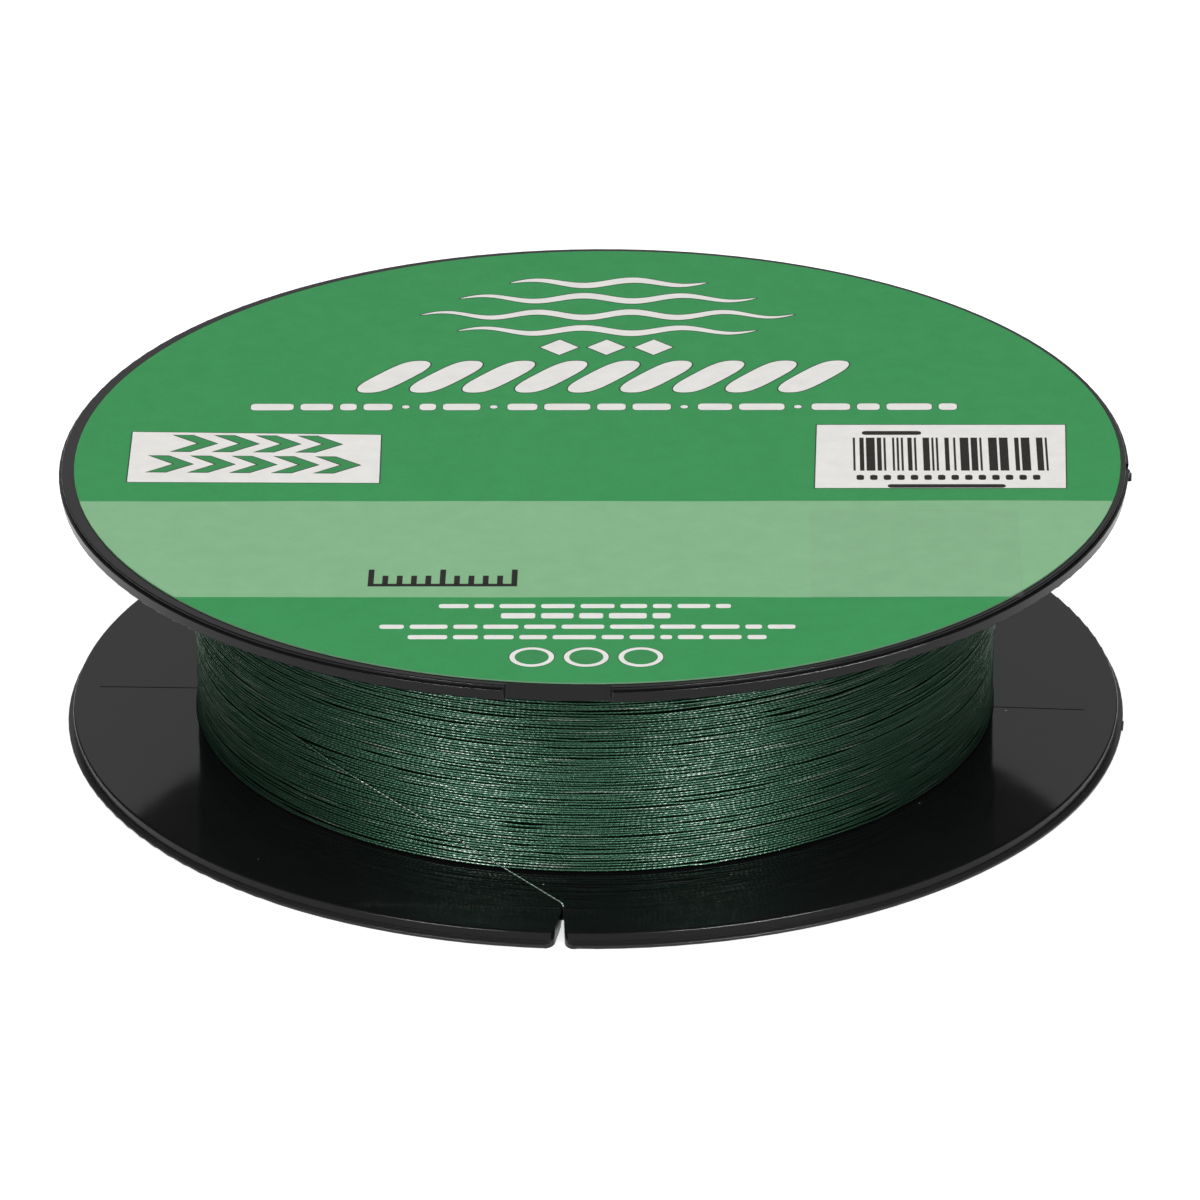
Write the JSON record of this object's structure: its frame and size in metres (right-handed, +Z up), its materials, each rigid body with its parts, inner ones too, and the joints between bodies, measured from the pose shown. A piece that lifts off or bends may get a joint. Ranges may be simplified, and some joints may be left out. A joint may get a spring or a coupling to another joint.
{
  "type": "fishing line spool",
  "caption": "Flat flanged spool of thin braided fishing line with a printed face label and a notch that holds the line's end.",
  "frame": {"origin": "centre of the lower flange's outer face, on the spool's axis", "axes": "+Z up along the spool's axis towards the label, -Y towards the notch that holds the line's end"},
  "size_m": [0.1152, 0.1149, 0.0302],
  "materials": {
    "black_plastic": "moulded, glossy inside faces and a finer satin rim",
    "label_paper": "coated paper, silk print",
    "clear_film": "thin clear film",
    "tape": "matt tape",
    "braided_line": "tight round braid with a slight sheen"
  },
  "bodies": {
    "root": {"lower_half": "black_plastic", "upper_half": "black_plastic", "paper_label": "label_paper", "clear_sticker": "clear_film", "arbor_tape": "tape", "wound_core": "braided_line", "layer_below": "braided_line", "last_layer": "braided_line", "line_end": "braided_line"}
  },
  "joints": []
}
